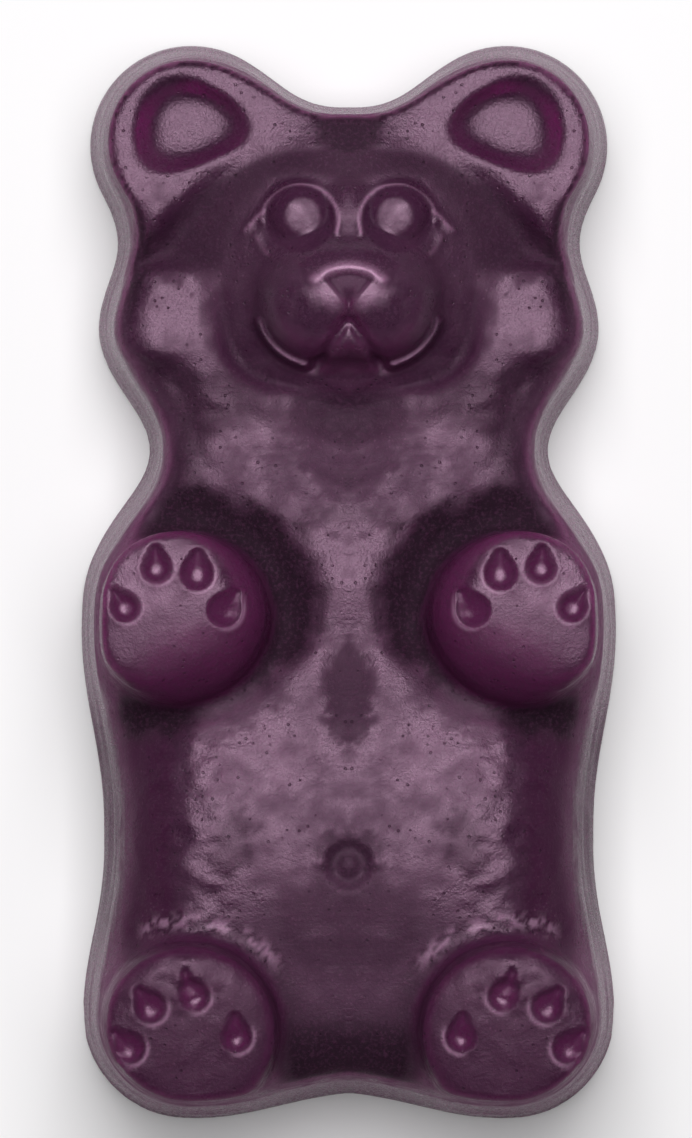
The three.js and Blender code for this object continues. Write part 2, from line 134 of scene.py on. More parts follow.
def peg(x, y, z, p, edge):  # leaning cone with a rounded end
    axis = np.subtract(p["high"], p["low"])
    length = np.linalg.norm(axis)
    axis = axis / length
    x, y, z = x - p["low"][0], y - p["low"][1], z - p["low"][2]
    t = x * axis[0] + y * axis[1] + z * axis[2]
    away = np.sqrt(np.maximum(x * x + y * y + z * z - t * t, 0))
    reach = p["wide"] + (p["narrow"] - p["wide"]) * np.clip(t / length, -0.2, 1.2)
    side = (away - reach) * length / math.hypot(length, p["wide"] - p["narrow"])
    return smoothMax(side, np.abs(t - length / 2) - length / 2, edge)


# outline of the back and draft of the side walls
back = {
    "head": dict(y=39.1, half=26.7, rise=22.9, corner=18),
    "ear": dict(x=20.45, y=56.7, radius=13.4, blend=6.8),
    "cheek": dict(x=24.6, y=32.8, radius=7.1, blend=12.4),
    "trunk": dict(y=-29.15, half=32.1, rise=37.4, corner=10.3),
    "shoulder": dict(x=13.75, y=-5.75, radius=16.7, blend=15),
    "hip": dict(x=19.5, y=-55.75, radius=10.2, blend=15),
    "neck": 19.75,
    "lowDraft": 0.12,
    "highDraft": 0.03,
    "draftChange": 24,
    "draftSoft": 8,
    "steeper": dict(share=0.3, x=(18, 10), y=(48, 54)),  # between the ears
    "edge": 0.9,
    "probe": 0.05,
}


def outline(x, y):
    top = roundedBox(x, y, back["head"])
    for name in ("ear", "cheek"):
        top = smoothMin(top, disc(x, y, back[name]), back[name]["blend"])
    low = roundedBox(x, y, back["trunk"])
    for name in ("shoulder", "hip"):
        low = smoothMin(low, disc(x, y, back[name]), back[name]["blend"])
    return smoothMin(top, low, back["neck"])


def wall(x, y, z):
    step, steeper = back["probe"], back["steeper"]
    here = outline(x, y)
    slope = np.hypot(outline(x + step, y) - here, outline(x, y + step) - here) / step
    low = back["lowDraft"] * (1 - steeper["share"] * ramp(*steeper["x"], np.abs(x)) * ramp(*steeper["y"], y))
    over = soft(z - back["draftChange"], back["draftSoft"]) - soft(-back["draftChange"], back["draftSoft"])
    return here / np.maximum(slope, 0.3) + low * z - (low - back["highDraft"]) * over


# heights of the front
front = {
    "crown": dict(z=26.1, y=49, lean=0.11, saddle=0.6, middle=(12, 4)),
    "brow": dict(y=57.2, arch=0.00266, power=2.6, slope=0.95, soft=1.3, blend=1.2, fade=(30, 33)),
    "temple": 20.5,
    "cheek": dict(z=25.1, start=(44, 39.5), y=35, lean=0.1, reach=5),
    "jaw": dict(top=30, low=26, drop=15, x=(23, 17)),
    "neck": 23.2,
    "underFace": dict(z=22.4, edge=(1.0, -1.2), fade=(21, 23)),
    "chest": dict(rise=5.6, y=(29, -4)),
    "belly": dict(rise=4.6, y=(-2, -37)),
    "lap": dict(rise=-4.4, y=(-36, -68)),
    "sag": dict(slope=0.5, y=64, x=(2.8, 1.8), fade=(50, 56)),
    "flank": dict(x=20.4, soft=2.2, slope=0.58, curve=0.018, reach=14, y=(-2, -18)),
    "armpit": dict(x=20, y=-4.2, radius=16.6, slope=0.75, soft=1.6, fade=(30, 24)),
    "armpitPull": dict(far=2.6, towards=(0.58, 0.81), spread=(0.7, 0.98)),  # reaches further to the breastbone
    "breastbone": dict(y=-10.5, rx=4.6, ry=10, deep=0.8),
    "throat": dict(y=27, rx=8.5, ry=17, deep=2.4),
    "parting": dict(y=63, rx=7, ry=8, deep=1.0),
}


def earPlane(x, y):
    crown = front["crown"]
    saddle = crown["saddle"] * ramp(*crown["middle"], np.abs(x))
    return crown["z"] - crown["lean"] * np.maximum(y - crown["y"], 0) - saddle


def faceSquare(x, y):
    s = face["skirt"]
    reach = ((x / s["half"]) ** 4 + (np.maximum(s["y"] - y, 0) / s["low"]) ** 4) ** 0.25
    return (reach - 1) * s["low"]


def browLine(x):
    brow = front["brow"]
    return brow["y"] - brow["arch"] * x ** brow["power"]


def armpitReach(x, y):
    pit, pull = front["armpit"], front["armpitPull"]
    dx, dy = pit["x"] - x, pit["y"] - y
    reach = np.hypot(dx, dy)
    along = (pull["towards"][0] * dx + pull["towards"][1] * dy) / np.maximum(reach, 1)
    return reach + pull["far"] * ramp(*pull["spread"], along)


def torso(x, y):
    brow, cheek, jaw = front["brow"], front["cheek"], front["jaw"]
    upper = earPlane(x, y) - brow["slope"] * soft(browLine(x) - y, brow["soft"])
    rise = (cheek["z"] - front["temple"]) * ramp(*cheek["start"], y)
    rise = rise - cheek["lean"] * np.clip(y - cheek["y"], -cheek["reach"], cheek["reach"])
    jawEnd = jaw["low"] - jaw["drop"] * ramp(*jaw["x"], x)
    z = front["temple"] + rise - (cheek["z"] - front["neck"]) * ramp(jaw["top"], jawEnd, y)
    shade = front["underFace"]
    under = ramp(*shade["edge"], faceSquare(x, y)) * ramp(*shade["fade"], y)
    z = z * (1 - under) + shade["z"] * under
    for name in ("chest", "belly", "lap"):
        z = z + front[name]["rise"] * ramp(*front[name]["y"], y)
    head = ramp(*brow["fade"], y)
    z = smoothMax(z, upper, brow["blend"]) * head + z * (1 - head)
    sag = front["sag"]
    z = z - sag["slope"] * soft(sag["y"] - y, 1) * ramp(*sag["x"], x) * ramp(*sag["fade"], y)
    side = front["flank"]
    flank = soft(x - side["x"], side["soft"]) * ramp(*side["y"], y)
    z = z - side["slope"] * flank - side["curve"] * np.minimum(flank, side["reach"]) ** 2
    pit = front["armpit"]
    z = z - pit["slope"] * soft(pit["radius"] - armpitReach(x, y), pit["soft"]) * ramp(*pit["fade"], x)
    for name in ("breastbone", "throat", "parting"):
        b = front[name]
        z = z - b["deep"] * bump(x, y - b["y"], b["rx"], b["ry"])
    return z


face = {
    "cone": dict(low=(0, 39.9, 15.8), high=(0, 38.4, 32.0), wide=35.6, narrow=3.0, edge=2.5, blend=1.8),
    "skirt": dict(y=39.5, half=16.4, low=14.6, grow=1.5, level=24.5, lean=0.6, edge=1.2, open=40, fade=(38, 44)),
    "bridge": dict(at=(0, 46.4, 27.4), r=(3.2, 5.4, 3.6), blend=1.2),
    "muzzle": dict(at=(3.7, 36.3, 29.0), r=(7.4, 7.5, 5.3), blend=3.5),
    "snout": dict(at=(0, 38.4, 32.0), r=(7.4, 4.9, 2.9), blend=2.0),
    "eyeball": dict(at=(6.0, 46.6, 25.6), r=(8.8, 7.0, 5.0)),
    "eye": dict(x=6.0, y=47.2, radius=3.2, taper=0.6, level=30, low=24, edge=1.0, blend=0.5),
}


def addFace(x, y, z, d):
    s = face["skirt"]
    skirt = (faceSquare(x, y) - s["grow"] - s["lean"] * (s["level"] - z)) / math.hypot(1, s["lean"])
    skirt = skirt - s["open"] * ramp(*s["fade"], y)
    mask = smoothMax(peg(x, y, z, face["cone"], face["cone"]["edge"]), skirt, s["edge"])
    d = smoothMin(d, mask, face["cone"]["blend"])
    for name in ("bridge", "muzzle", "snout"):
        d = smoothMin(d, ellipsoid(x, y, z, face[name]), face[name]["blend"])
    e = face["eye"]
    rim = np.hypot(x - e["x"], y - e["y"]) - e["radius"] + e["taper"] * (z - e["level"])
    eye = smoothMax(ellipsoid(x, y, z, face["eyeball"]), rim, e["edge"])
    return smoothMin(d, smoothMax(eye, e["low"] - z, 1), e["blend"])


limbs = {
    "arm": dict(low=(19.3, -7.2, 8), high=(22.3, -4.1, 41.3), wide=13.2, narrow=10.7, blend=3.6),
    "pad": dict(x=28.5, y=1.5, dome=0.006, most=600, z=(20, 30)),
    "heel": dict(x=14, y=-6.2, lean=0.33, fall=0.5, soft=1.5),
    "armEdge": dict(crisp=1.6, round=5.0, start=27, end=13, skew=0.6, y=-5),
    "foot": dict(low=(20.3, -57.2, 6), high=(20.6, -58.0, 48.5), wide=12.8, narrow=11.0, edge=3.2, blend=3),
    "sole": dict(y=-58, z=46.5, slope=0.12, edge=3),
}


def addLimbs(x, y, z, d):
    e = limbs["armEdge"]
    edge = e["crisp"] + e["round"] * ramp(e["start"], e["end"], x + e["skew"] * (y - e["y"]))
    pad, h = limbs["pad"], limbs["heel"]
    dome = pad["dome"] * np.minimum((x - pad["x"]) ** 2 + (y - pad["y"]) ** 2, pad["most"])
    heel = h["fall"] * soft(h["y"] - h["lean"] * (x - h["x"]) - y, h["soft"])
    arm = peg(x, y, z + dome + heel * ramp(*pad["z"], z), limbs["arm"], edge)
    d = smoothMin(d, arm, limbs["arm"]["blend"])
    s = limbs["sole"]
    foot = peg(x, y, z, limbs["foot"], limbs["foot"]["edge"])
    foot = smoothMax(foot, z - s["z"] - s["slope"] * (y - s["y"]), s["edge"])
    return smoothMin(d, foot, limbs["foot"]["blend"])


ears = {
    "deep": 2.6,
    "middle": (20, 60),
    "outer": dict(nx=1.0, ny=0.0, off=8.0, lean=0.82),
    "top": dict(nx=-0.596, ny=0.803, off=4.8, lean=0.44, soft=14),
    "low": dict(nx=-0.355, ny=-0.935, off=6.3, lean=0.38, soft=8.2),
    "share": 0.85,
    "floorEdge": 0.8,
    "rimEdge": 0.4,
}


def earSides(x, y, z):
    low = z - earPlane(x, y)
    x, y = x - ears["middle"][0], y - ears["middle"][1]
    outer, top, under = (
        side["nx"] * x + side["ny"] * y - side["off"] - side["lean"] * low
        for side in (ears["outer"], ears["top"], ears["low"])
    )
    return smoothMax(smoothMax(outer, top, ears["top"]["soft"]), under, ears["low"]["soft"]) * ears["share"]


def earHollow(x, y, z):
    return smoothMax(earSides(x, y, z), earPlane(x, y) - ears["deep"] - z, ears["floorEdge"])


# fine cut relief of the mould; a toe is its x, y and radius, then the way to its point
toes = {
    "hand": [
        (28.7, -3.2, 1.95, 1.5, 2.0), (24.7, 1.8, 2.05, 0.2, 2.4),
        (19.5, 1.1, 2.2, -0.1, 2.6), (16.0, -3.6, 2.25, -1.4, 2.2),
    ],
    "foot": [
        (25.4, -54.5, 2.05, 1.5, 2.1), (19.8, -53.1, 2.0, 1.1, 2.8),
        (28.1, -59.7, 2.05, 1.7, 2.0), (14.4, -58.3, 2.0, 0.2, 2.6),
    ],
    "deep": 0.85,
    "nib": 0.75,
    "neck": 1.6,
    "lip": dict(rise=0.07, off=0.3, width=0.4),
}
cuts = {
    "socket": dict(x=6.3, y=46.5, radius=4.6, deep=0.12, rim=4.95, span=(0, 197), rise=0.3, width=0.5),
    "underRim": dict(off=1, span=(-44, -18), share=0.5),
    "spur": dict(x=5.0, y=1.2, dx=1.9, dy=-2.3),
    "smile": dict(x=3.7, y=36, radius=8.45, span=(-82, -17), rise=0.58, width=0.7),
    "philtrum": dict(y=35.0, half=1.0, deep=0.4, width=0.6),
    "mouth": dict(x=0.4, y=33.4, dx=4.0, dy=-5.8, deep=0.8, width=0.8),
    "lip": dict(y=30.6, radius=3, rise=0.5),
    "nose": dict(y=34.35, radius=6.3, span=(46, 134), rise=0.3, width=0.8),
    "nostril": dict(tip=35.4, top=40.0, arch=0.06, half=3.5, rise=4.0, edge=1.0, deep=0.45, bank=(0.3, -0.6)),
    "noseMound": dict(y=38.2, rx=1.9, ry=1.6, rise=0.12),
    "navel": dict(y=-36.4, ring=1.9, deep=0.75, width=1.1, rim=3.4, rise=0.12, rimWidth=0.8),
}


def spur(sx, sy):
    c = cuts["spur"]
    return drop(sx - c["x"], sy - c["y"], c["dx"], c["dy"], 0, 0)


def underRim(sx, sy):
    c = cuts["underRim"]
    return arc(sx, sy, cuts["socket"]["rim"] + c["off"], *c["span"])


def smileLine(x, y):
    c = cuts["smile"]
    return arc(x - c["x"], y - c["y"], c["radius"], *c["span"])


def noseLine(x, y):
    c = cuts["nose"]
    return arc(x, y - c["y"], c["radius"], *c["span"])


def nostrilEdge(x, y):
    c = cuts["nostril"]
    side = (c["rise"] * x - c["half"] * (y - c["tip"])) / math.hypot(c["half"], c["rise"])
    return smoothMax(side, y - c["top"] + c["arch"] * x * x, c["edge"])


def toeDistance(x, y, toe):
    cx, cy, radius, dx, dy = toe
    point = drop(x - cx, y - cy, dx, dy, toes["nib"], toes["nib"])
    return smoothMin(np.hypot(x - cx, y - cy) - radius, point, toes["neck"])


def relief(x, y):
    rise = 0
    lip = toes["lip"]
    for toe in toes["hand"] + toes["foot"]:
        d = toeDistance(x, y, toe)
        t = np.clip(-d / toe[2], 0, 1)
        rise = rise - toes["deep"] * t * (2 - t) + lip["rise"] * ridge(d - lip["off"], lip["width"])
    c = cuts["socket"]
    sx, sy = x - c["x"], y - c["y"]
    rise = rise - c["deep"] * np.clip(1 - (np.hypot(sx, sy) / c["radius"]) ** 2, 0, 1)
    rise = rise + c["rise"] * ridge(arc(sx, sy, c["rim"], *c["span"]), c["width"])
    rise = rise + cuts["underRim"]["share"] * c["rise"] * ridge(underRim(sx, sy), c["width"])
    rise = rise + c["rise"] * ridge(spur(sx, sy), c["width"])
    c = cuts["smile"]
    rise = rise + c["rise"] * ridge(smileLine(x, y), c["width"])
    c = cuts["philtrum"]
    rise = rise - c["deep"] * ridge(np.hypot(x, np.maximum(np.abs(y - c["y"]) - c["half"], 0)), c["width"])
    c = cuts["mouth"]
    rise = rise - c["deep"] * ridge(drop(x - c["x"], y - c["y"], c["dx"], c["dy"], 0, 0), c["width"])
    c = cuts["lip"]
    rise = rise + c["rise"] * bump(x, y - c["y"], c["radius"], c["radius"])
    c = cuts["nose"]
    rise = rise + c["rise"] * ridge(noseLine(x, y), c["width"])
    c = cuts["nostril"]
    rise = rise - c["deep"] * ramp(*c["bank"], nostrilEdge(x, y))
    c = cuts["noseMound"]
    rise = rise + c["rise"] * bump(x, y - c["y"], c["rx"], c["ry"])
    c = cuts["navel"]
    q = np.hypot(x, y - c["y"])
    return rise - c["deep"] * ridge(q - c["ring"], c["width"]) + c["rise"] * ridge(q - c["rim"], c["rimWidth"])


# how round the front's edge is, from the ears down
rounding = {
    "ears": 0.9,
    "crown": dict(more=0.2, x=(24, 14), y=(42, 52)),
    "head": dict(more=4.3, y=(52, 42)),
    "belly": dict(more=1.0, y=(10, -20)),
    "lean": 0.93,
    "limb": 0.8,
    "reliefFrom": (14, 24),
}


def gum(x, y, z):
    x = np.abs(x)
    side = wall(x, y, z)
    crown, head, belly = rounding["crown"], rounding["head"], rounding["belly"]
    edge = rounding["ears"] + crown["more"] * ramp(*crown["x"], x) * ramp(*crown["y"], y)
    edge = edge + head["more"] * ramp(*head["y"], y) + belly["more"] * ramp(*belly["y"], y)
    d = smoothMax((z - torso(x, y)) * rounding["lean"], side, edge)
    d = addLimbs(x, y, z, addFace(x, y, z, d))
    d = smoothMax(d, side, rounding["limb"])
    d = smoothMax(d, -earHollow(x, y, z), ears["rimEdge"])
    d = d - relief(x, y) * ramp(*rounding["reliefFrom"], z)
    return smoothMax(d, -z, back["edge"])


settling = dict(step=0.02, flattest=0.05, longest=0.8, first=4, later=2, relax=0.5)


def slopeOf(p):
    step = settling["step"]
    x, y, z = p.T
    value = gum(x, y, z)
    moved = [gum(x + step, y, z), gum(x, y + step, z), gum(x, y, z + step)]
    return value, np.stack([(m - value) / step for m in moved], 1)


def normalsAt(points):
    slope = slopeOf(points)[1]
    return slope / np.maximum(np.linalg.norm(slope, axis=1), 1e-6)[:, None]


def settle(p, rounds):  # draws points onto the form's surface
    for _ in range(rounds):
        value, slope = slopeOf(p)
        move = value / np.maximum((slope * slope).sum(1), settling["flattest"])
        p = p - slope * np.clip(move, -settling["longest"], settling["longest"])[:, None]
    return p


# the gum body: a merged copy of the solid, remeshed and drawn onto the fine form
body = {
    "voxel": 1.15,
    "frontBand": 18.0,
    "evenRounds": 2,
    "backEdge": 0.6,  # no ripples below this height
    "slack": 0.02,
}
fineZones = {
    "muzzle": dict(x=3.5, y=35.5, radius=11),
    "eye": dict(x=6, y=46.3, radius=7),
    "navel": dict(x=0, y=-36.4, radius=4.6),
    "toe": 1.0,
    "above": 20,
}


def coordinates(mesh):
    co = np.zeros(len(mesh.vertices) * 3)
    mesh.vertices.foreach_get("co", co)
    return co.reshape(-1, 3) / mm


def movePoints(mesh, points):
    mesh.vertices.foreach_set("co", (points * mm).astype(np.float32).ravel())
    mesh.update()


def mergedCopy(node, name):
    bm = bmesh.new()
    bm.from_mesh(node.data)
    bmesh.ops.remove_doubles(bm, verts=bm.verts, dist=1e-6)
    mesh = bpy.data.meshes.new(name)
    bm.to_mesh(mesh)
    bm.free()
    piece = bpy.data.objects.new(name, mesh)
    bpy.context.scene.collection.objects.link(piece)
    return piece


def remeshed(piece, voxel):
    modifier = piece.modifiers.new("even skin", "REMESH")
    modifier.mode = "VOXEL"
    modifier.voxel_size = voxel * mm
    shown = piece.evaluated_get(bpy.context.evaluated_depsgraph_get())
    mesh = bpy.data.meshes.new_from_object(shown)
    piece.modifiers.clear()
    piece.data = mesh


def evened(mesh, rounds):  # spreads the points evenly along the surface
    edges = np.zeros(len(mesh.edges) * 2, int)
    mesh.edges.foreach_get("vertices", edges)
    a, b = edges.reshape(-1, 2).T
    points = settle(coordinates(mesh), settling["first"])
    ends, others = np.concatenate([a, b]), np.concatenate([b, a])
    counts = np.bincount(ends, minlength=len(points))[:, None]
    for _ in range(rounds):
        sums = np.stack([np.bincount(ends, points[others, i], len(points)) for i in range(3)], 1)
        normal = normalsAt(points)
        move = settling["relax"] * (sums / counts - points)
        move = move - normal * (move * normal).sum(1)[:, None]
        points = settle(points + move, settling["later"])
    movePoints(mesh, points)


def refine(mesh, wanted):
    points = coordinates(mesh)
    inside = wanted(points)
    bm = bmesh.new()
    bm.from_mesh(mesh)
    edges = [e for e in bm.edges if inside[e.verts[0].index] and inside[e.verts[1].index]]
    bmesh.ops.subdivide_edges(bm, edges=edges, cuts=1, use_grid_fill=True)
    bm.to_mesh(mesh)
    bm.free()


def onFront(p):
    return p[:, 2] > body["frontBand"]


def onDetail(p):
    x, y, z = np.abs(p[:, 0]), p[:, 1], p[:, 2]
    near = np.zeros(len(p), bool)
    for name in ("muzzle", "eye", "navel"):
        near |= disc(x, y, fineZones[name]) < 0
    for toe in toes["hand"] + toes["foot"]:
        near |= toeDistance(x, y, toe) < fineZones["toe"]
    return near & (z > fineZones["above"])


def patches(points, size, seed):
    at = points / np.array(size) + seed
    return np.array([noise.fractal(Vector(v), 0.7, 2.1, 3) for v in at])  # falloff, spacing, octaves


def ripples(points, size, seed):
    return np.array([noise.noise(Vector(v)) for v in points / np.array(size) + seed])


# ripples of the cast skin: how deep, the size of one along each axis, and the seed
swells = {
    "edge": (0.36, (2.6, 1.3, 3.0), 11.3),
    "belly": (0.10, (2.2, 1.6, 2.2), 4.1),
    "neck": (0.24, (3.6, 1.7, 3.4), 3.7),
    "broad": (0.07, (6.5, 6.5, 6.5), 5.1),
    "fine": (0.05, (1.5, 1.3, 1.5), 6.6),
    "sole": (0.13, (2.3, 2.0, 3.0), 9.9),
    "brow": (0.13, (1.1, 1.0, 1.1), 1.9),
    "layers": (0.14, (14, 14, 1.6), 8.2),
}
rippled = {
    "up": (0.2, 0.7),
    "belly": dict(start=(-12, -18), end=(-64, -54)),
    "edge": dict(inner=(13, 17), outer=(27, 23), start=(-12, -20), end=(-60, -50)),
    "neck": dict(start=(30, 24), end=(-4, 6), swirl=(0.6, 0.4)),
    "sole": dict(x=20.5, y=-58, radius=(12, 9.5), z=(30, 34)),
    "brow": dict(away=(2.6, 0.6), y=(40, 43)),
}


def sculpt(points, normals):
    x, y, z = np.abs(points[:, 0]), points[:, 1], points[:, 2]
    up = ramp(*rippled["up"], normals[:, 2])
    belly, edge, neck, sole, brow = (rippled[name] for name in ("belly", "edge", "neck", "sole", "brow"))
    across = ramp(*edge["inner"], x) * ramp(*edge["outer"], x)
    where = {
        "edge": across * ramp(*edge["start"], y) * ramp(*edge["end"], y) * up,
        "belly": ramp(*belly["start"], y) * ramp(*belly["end"], y) * up,
        "neck": ramp(*neck["start"], y) * ramp(*neck["end"], y) * up,
        "broad": up,
        "fine": up,
        "sole": ramp(*sole["radius"], np.hypot(x - sole["x"], y - sole["y"])) * up * ramp(*sole["z"], z),
        "brow": ramp(*brow["away"], np.abs(browLine(x) - y)) * up * ramp(*brow["y"], y),
        "layers": 1 - up,
    }
    mirrored = np.stack([x, y, z], 1)
    swirled = np.stack([x + neck["swirl"][0] * y, y - neck["swirl"][1] * x, z], 1)
    rise = 0
    for name, (deep, size, seed) in swells.items():
        rise = rise + deep * where[name] * ripples(swirled if name == "neck" else mirrored, size, seed)
    return rise


def fitted(points):  # keeps the body inside the solid's box
    low, high = np.array(cadBox[0]) / mm, np.array(cadBox[1]) / mm
    for axis in range(3):
        span = max(points[:, axis].max() - points[:, axis].min(), 1)
        share = min(1, (high[axis] - low[axis] - body["slack"]) / span)
        points[:, axis] = points[:, axis] * share
    points[:, 2] -= points[:, 2].min()
    return points


def buildBody():
    piece = mergedCopy(frame["nodes"]["gummy_bear"], "gumBody")
    remeshed(piece, body["voxel"])
    mesh = piece.data
    evened(mesh, body["evenRounds"])
    refine(mesh, onFront)
    evened(mesh, body["evenRounds"])
    refine(mesh, onDetail)
    evened(mesh, 1)
    points = coordinates(mesh)
    normals = normalsAt(points)
    raised = sculpt(points, normals)[:, None] * (points[:, 2] > body["backEdge"])[:, None]
    movePoints(mesh, fitted(points + normals * raised))
    mesh.shade_smooth()
    print("gum body:", len(mesh.vertices), "points", len(mesh.polygons), "faces")
    return piece


gumBody = buildBody()
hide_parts("gummy_bear")
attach(gumBody, "root")


# shader maths: a wire is a socket that adds, takes away and multiplies
class Wire:
    tree = None

    def __init__(self, socket):
        self.socket = socket

    @staticmethod
    def node(kind, settings, inputs, out=0):
        made = Wire.tree.nodes.new("ShaderNode" + kind)
        for name, value in settings.items():
            setattr(made, name, value)
        for name, value in inputs.items():
            if isinstance(value, Wire):
                Wire.tree.links.new(value.socket, made.inputs[name])
            else:
                made.inputs[name].default_value = value
        return Wire(made.outputs[out]) if made.outputs else None

    def maths(self, operation, other=0.0):
        return Wire.node("Math", {"operation": operation}, {0: self, 1: other})

    def __add__(self, other):
        return self.maths("ADD", other)

    def __sub__(self, other):
        return self.maths("SUBTRACT", other)

    def __mul__(self, other):
        return self.maths("MULTIPLY", other)

    __radd__ = __add__
    __rmul__ = __mul__

    def __rsub__(self, other):
        return Wire.node("Math", {"operation": "SUBTRACT"}, {0: other, 1: self})

    def step(self, low, high):
        inputs = {0: self, 1: low, 2: high, 3: 0.0, 4: 1.0}
        return Wire.node("MapRange", {"interpolation_type": "SMOOTHSTEP"}, inputs)

    def other(self, name):  # another output of the same node
        return Wire(self.socket.node.outputs[name])


def newMaterial(name):
    material = bpy.data.materials.new(name)
    material.use_nodes = True
    material.node_tree.nodes.clear()
    Wire.tree = material.node_tree
    return material


def mixed(factor, a, b):
    settings = {"data_type": "RGBA", "clamp_factor": True}
    return Wire.node("Mix", settings, {0: factor, 6: a, 7: b}, out=2)


def noiseAt(point, size, detail, rough=0.5):
    return Wire.node("TexNoise", {}, {"Vector": point, "Scale": size, "Detail": detail, "Roughness": rough})


def cellsAt(point, size):
    return Wire.node("TexVoronoi", {}, {"Vector": point, "Scale": 1 / size}, out="Distance")


def colour(r, g, b):
    def linear(c):
        c = c / 255
        return c / 12.92 if c <= 0.04045 else ((c + 0.055) / 1.055) ** 2.4

    return (linear(r), linear(g), linear(b), 1)


# where the gum gets painted glow, painted shade, a duller gloss or painted highlights
# a spot is its x, y, half width and half height, and in dullSpots its strength
skin = {
    "fore": (17, 21),
    "blot": ((4, 4, 5), 5.5),
    "fleck": ((1.8, 1.5, 1.8), 7.7),
    "broadPatch": ((5, 4, 5), 2.2),
    "layers": ((12, 12, 1.3), 3.1),
    "arm": (20.5, -5.5),
    "foot": (20.5, -58),
    "padTop": (33, 36),
    "limbTop": (30, 34),
    "spotEdge": (1.25, 0.75),
}


def spot(x, y, place):
    reach = np.hypot((x - place[0]) / place[2], (y - place[1]) / place[3])
    return ramp(*skin["spotEdge"], reach)


toeMarks = {
    "bowl": (0.2, -0.8),
    "lip": dict(off=0.3, width=0.28, facing=(-0.8, -0.6), turn=(0.1, 1.0)),
    "bead": dict(x=0.1, y=0.2, radius=(1.0, 0.5)),
}


def addToes(s):  # bowl, glossy middle bead and lip of each toe; the lip is painted pale as a highlight
    s.toe, s.bead, s.lip = np.zeros((3, len(s.x)))
    lip, bead = toeMarks["lip"], toeMarks["bead"]
    high = ramp(*skin["limbTop"], s.z)
    for t in toes["hand"] + toes["foot"]:
        away = toeDistance(s.x, s.y, t)
        turn = (lip["facing"][0] * (s.x - t[0]) + lip["facing"][1] * (s.y - t[1])) / t[2]
        s.toe = np.maximum(s.toe, ramp(*toeMarks["bowl"], away) * high)
        s.lip = np.maximum(s.lip, ridge(away - lip["off"], lip["width"]) * ramp(*lip["turn"], turn) * high)
        middle = np.hypot(s.x - t[0] + bead["x"], s.y - t[1] + bead["y"])
        s.bead = np.maximum(s.bead, ramp(*bead["radius"], middle))


sideMarks = {
    "side": dict(up=(0.75, 0.35), inward=(-3.5, -1), z=(0.1, 0.6)),
    "flank": dict(x=(20, 24), start=(-14, -22), end=(-50, -44), up=(0.98, 0.85)),
    "sole": (12.5, 11),
    "ditch": dict(away=(2.2, 0.8), top=(39, 37), low=(22, 23)),
    "waist": dict(start=(-12, -22), end=(-52, -42)),
}
faceMarks = {
    "below": (0.3, 2),
    "upper": (39, 41),
    "square": (1, -1),
    "features": [(6.1, 46.8, 5.9, 5.9), (0, 47, 2.2, 3.6), (0, 36.5, 7, 7)],
    "outer": dict(y=39, radius=(15, 18), top=(51, 53)),
}


def skinOf(points):
    x, y, z = np.abs(points[:, 0]), points[:, 1], points[:, 2]
    s = SimpleNamespace(x=x, y=y, z=z, mirrored=np.stack([x, y, z], 1))
    s.up = normalsAt(points)[:, 2]
    s.fore = ramp(*skin["fore"], z)
    s.inward = wall(x, y, z)
    s.blot, s.fleck = (patches(s.mirrored, *skin[name]) for name in ("blot", "fleck"))
    s.arm, s.foot = (np.hypot(x - skin[name][0], y - skin[name][1]) for name in ("arm", "foot"))
    addToes(s)
    # side: the walls; their pale colour is a painted reflection, and their gloss is lowered
    m = sideMarks["side"]
    s.side = ramp(*m["up"], s.up) * ramp(*m["inward"], s.inward) * ramp(*m["z"], z)
    # flank: the flanks, darkened as painted shade
    m = sideMarks["flank"]
    s.flank = ramp(*m["x"], x + s.blot) * ramp(*m["start"], y) * ramp(*m["end"], y)
    s.flank = s.flank * ramp(*m["up"], s.up) * (1 - s.side)
    s.sole = ramp(*sideMarks["sole"], s.foot) * ramp(*skin["limbTop"], z) * (1 - s.toe)
    m = sideMarks["ditch"]
    s.ditch = ramp(*m["away"], np.abs(faceSquare(x, y))) * ramp(*m["top"], y) * ramp(*m["low"], y)
    m = sideMarks["waist"]
    s.waist = ramp(*m["start"], y) * ramp(*m["end"], y)
    features = np.max([spot(x, y, place) for place in faceMarks["features"]], 0)
    s.mask = ramp(*faceMarks["below"], browLine(x) - y)
    s.mask = s.mask * np.maximum(ramp(*faceMarks["upper"], y), ramp(*faceMarks["square"], faceSquare(x, y)))
    s.mask = s.mask * (1 - features)
    m = faceMarks["outer"]
    s.outer = np.maximum(ramp(*m["radius"], np.hypot(x, y - m["y"])), ramp(*m["top"], y))
    return s


paintedGlowShares = {
    "slope": (0.95, 0.7),
    "arm": 0.5,
    "foot": 0.15,
    "limb": (14, 12),
    "limbHeight": (22, 34),
    "ear": dict(least=0.25, more=0.75, facing=(0.6, 0.8), turn=(-3, 5), wall=(3.0, 1.5)),
    "earZone": dict(y=(46, 50), below=(-0.1, -0.6), inward=(-2.2, -3.4)),
    "muzzle": dict(place=(0, 33, 9, 8), share=0.3),
    "all": 0.05,
    "toe": 0.45,
    "pad": dict(least=0.12, heel=0.3, place=(18, -12, 9, 7), edge=(13, 9)),
}
